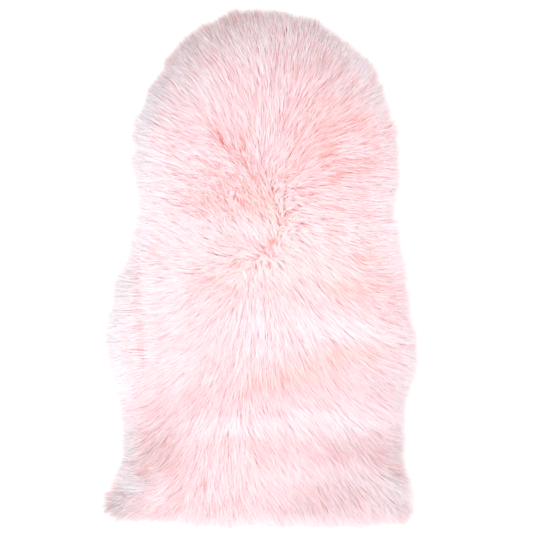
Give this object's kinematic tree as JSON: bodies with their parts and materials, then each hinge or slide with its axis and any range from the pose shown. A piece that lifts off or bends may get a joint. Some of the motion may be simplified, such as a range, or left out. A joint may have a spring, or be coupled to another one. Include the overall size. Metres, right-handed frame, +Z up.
{
  "type": "pelt-shaped long pile rug",
  "caption": "Pelt-shaped rug of long, soft pile in pale pink, with a rounded head end, full flanks and a nearly straight tail end with flared corners.",
  "frame": {"origin": "on the floor, under the middle of the rug's bounding box, taken to the tips of the pile", "axes": "+X to the right flank seen from above with the head end away, +Y along the rug to the rounded head end, +Z up, out of the pile"},
  "size_m": [0.6, 1, 0.0376],
  "materials": {
    "pile": "long, soft, slightly lustrous pile in pale pink, deeper coral pink at the roots and near white at the tips",
    "backing": "plain matt brushed backing, off-white"
  },
  "bodies": {
    "root": {"pelt": "pile"}
  },
  "joints": []
}
